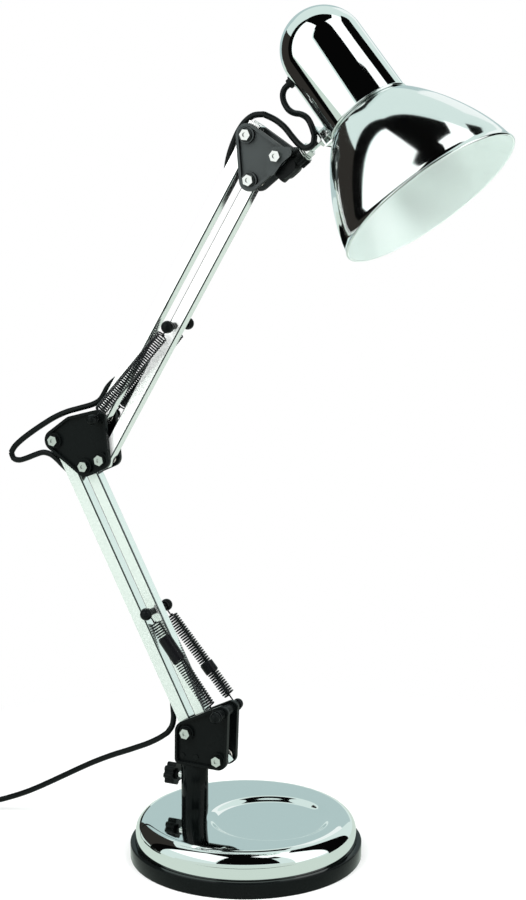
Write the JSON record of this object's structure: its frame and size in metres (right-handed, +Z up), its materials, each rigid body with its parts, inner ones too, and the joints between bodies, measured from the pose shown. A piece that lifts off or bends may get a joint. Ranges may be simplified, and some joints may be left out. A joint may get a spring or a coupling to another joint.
{
  "type": "balanced arm desk lamp",
  "caption": "Desk lamp with a weighted round base, two sprung parallel arms, a tilting and swivelling bell shade, a lamp socket and a mains lead with a switch.",
  "frame": {"origin": "centre of the base's underside, on the table", "axes": "+Z up; +X from the base towards the shade; the arms lie in the plane Y = 0"},
  "size_m": [0.4404, 0.221, 0.6073],
  "materials": {
    "black_plastic": "moulded, satin to glossy",
    "black_paint": "satin black",
    "chrome": "bright plating",
    "nickel_steel": "nickel plated",
    "iron": "as cast",
    "rubber": "matte",
    "nylon": "plain",
    "spring_wire": "black coated spring steel",
    "sleeve": "heat shrunk tube",
    "cable": "soft black sheath",
    "brass": "bright",
    "grey_plastic": "satin"
  },
  "bodies": {
    "base": {"base_ring": "black_plastic", "base_cover": "chrome", "base_weight": "iron", "base_pad": "rubber", "post_tube": "black_paint", "post_insert": "nickel_steel", "post_bolt": "nickel_steel", "supply_cord": "cable", "cord_coil": "cable", "plug_body": "black_plastic", "plug_pins": "nickel_steel", "switch_body": "black_plastic"},
    "locking": {"locking_screw": "nickel_steel", "locking_knob": "black_plastic"},
    "turret": {"turret_spigot": "nickel_steel", "turret_block": "black_plastic", "bracket_plate_front": "black_paint", "bracket_plate_rear": "black_paint", "bracket_bolts": "nickel_steel", "bracket_bushes": "nylon", "bracket_spring_pin": "black_paint"},
    "lower_bar_l": {"lower_channel_bar": "chrome", "lower_cable_run": "cable"},
    "lower_bar_r": {"lower_square_bar": "chrome", "lower_spring_pin": "black_paint", "lower_spring_front": "spring_wire", "lower_spring_rear": "spring_wire", "lower_spring_sleeves": "sleeve"},
    "elbow": {"elbow_plate_front": "black_paint", "elbow_plate_rear": "black_paint", "elbow_bolts": "nickel_steel", "elbow_bushes": "nylon", "elbow_spring_pin": "black_paint", "elbow_cable_loop": "cable"},
    "upper_bar_l": {"upper_channel_bar": "chrome", "upper_cable_run": "cable"},
    "upper_bar_r": {"upper_square_bar": "chrome", "upper_spring_pin": "black_paint", "upper_spring_front": "spring_wire", "upper_spring_rear": "spring_wire"},
    "yoke": {"yoke_plate_front": "black_paint", "yoke_plate_rear": "black_paint", "yoke_bolts": "nickel_steel", "yoke_bushes": "nylon", "head_cable_loop": "cable"},
    "tilt_head": {"tilt_block": "black_plastic", "tilt_cheeks": "black_paint", "tilt_bolt": "nickel_steel", "head_rod": "chrome", "rod_washers": "nickel_steel", "rod_nuts": "nickel_steel"},
    "rod_clamp": {"rod_knob": "black_plastic"},
    "head": {"shade": "chrome", "cap": "chrome", "head_bracket": "chrome", "lampholder": "black_plastic", "shade_ring": "black_plastic", "holder_contact": "brass", "cable_gland": "black_plastic"},
    "rocker": {"switch_rocker": "grey_plastic"}
  },
  "joints": [
    {"name": "base_swivel", "type": "hinge", "parent": "base", "child": "turret", "pos_m": [-0.042, 0, 0.06], "axis": [0, 0, 1], "range_deg": [-120, 120], "deforming": ["supply_cord"]},
    {"name": "locking_turn", "type": "hinge", "parent": "base", "child": "locking", "pos_m": [-0.058, 0, 0.0525], "axis": [1, 0, 0], "continuous": true},
    {"name": "lower_arm", "type": "hinge", "parent": "turret", "child": "lower_bar_l", "pos_m": [-0.044, 0, 0.0885], "axis": [0, 1, 0], "range_deg": [-9, 16.5], "deforming": ["supply_cord"]},
    {"name": "lower_link", "type": "hinge", "parent": "turret", "child": "lower_bar_r", "pos_m": [-0.0185, 0, 0.0708], "axis": [0, 1, 0], "range_deg": [-9, 16.5], "deforming": ["lower_spring_front", "lower_spring_rear", "lower_spring_sleeves"]},
    {"name": "elbow_link", "type": "hinge", "parent": "lower_bar_l", "child": "elbow", "pos_m": [-0.15233, 0, 0.29929], "axis": [0, 1, 0], "range_deg": [-16.5, 9], "deforming": ["elbow_cable_loop"]},
    {"name": "upper_arm", "type": "hinge", "parent": "elbow", "child": "upper_bar_l", "pos_m": [-0.11523, 0, 0.31799], "axis": [0, 1, 0], "range_deg": [-15, 60], "deforming": ["elbow_cable_loop"]},
    {"name": "upper_link", "type": "hinge", "parent": "elbow", "child": "upper_bar_r", "pos_m": [-0.11313, 0, 0.28719], "axis": [0, 1, 0], "range_deg": [-15, 60], "deforming": ["upper_spring_front", "upper_spring_rear"]},
    {"name": "yoke_link", "type": "hinge", "parent": "upper_bar_l", "child": "yoke", "pos_m": [0.00551, 0, 0.52135], "axis": [0, 1, 0], "range_deg": [-60, 15], "deforming": ["head_cable_loop"]},
    {"name": "head_tilt", "type": "hinge", "parent": "yoke", "child": "tilt_head", "pos_m": [0.02891, 0, 0.50685], "axis": [0, 1, 0], "range_deg": [-50, 35], "deforming": ["head_cable_loop"]},
    {"name": "rod_knob_turn", "type": "hinge", "parent": "tilt_head", "child": "rod_clamp", "pos_m": [0.08621, 0, 0.54225], "axis": [0.7738, 0, 0.6334], "continuous": true},
    {"name": "head_swivel", "type": "hinge", "parent": "tilt_head", "child": "head", "pos_m": [0.08621, 0, 0.54225], "axis": [0.7738, 0, 0.6334], "range_deg": [-60, 60], "deforming": ["head_cable_loop"]},
    {"name": "switch_rock", "type": "hinge", "parent": "base", "child": "rocker", "pos_m": [-0.228, -0.052, 0.0065], "axis": [1, 0, 0], "range_deg": [-14, 0]}
  ],
  "couplings": [
    {"joint": "lower_link", "follows": "lower_arm", "ratio": 1},
    {"joint": "elbow_link", "follows": "lower_arm", "ratio": -1},
    {"joint": "upper_link", "follows": "upper_arm", "ratio": 1},
    {"joint": "yoke_link", "follows": "upper_arm", "ratio": -1}
  ]
}
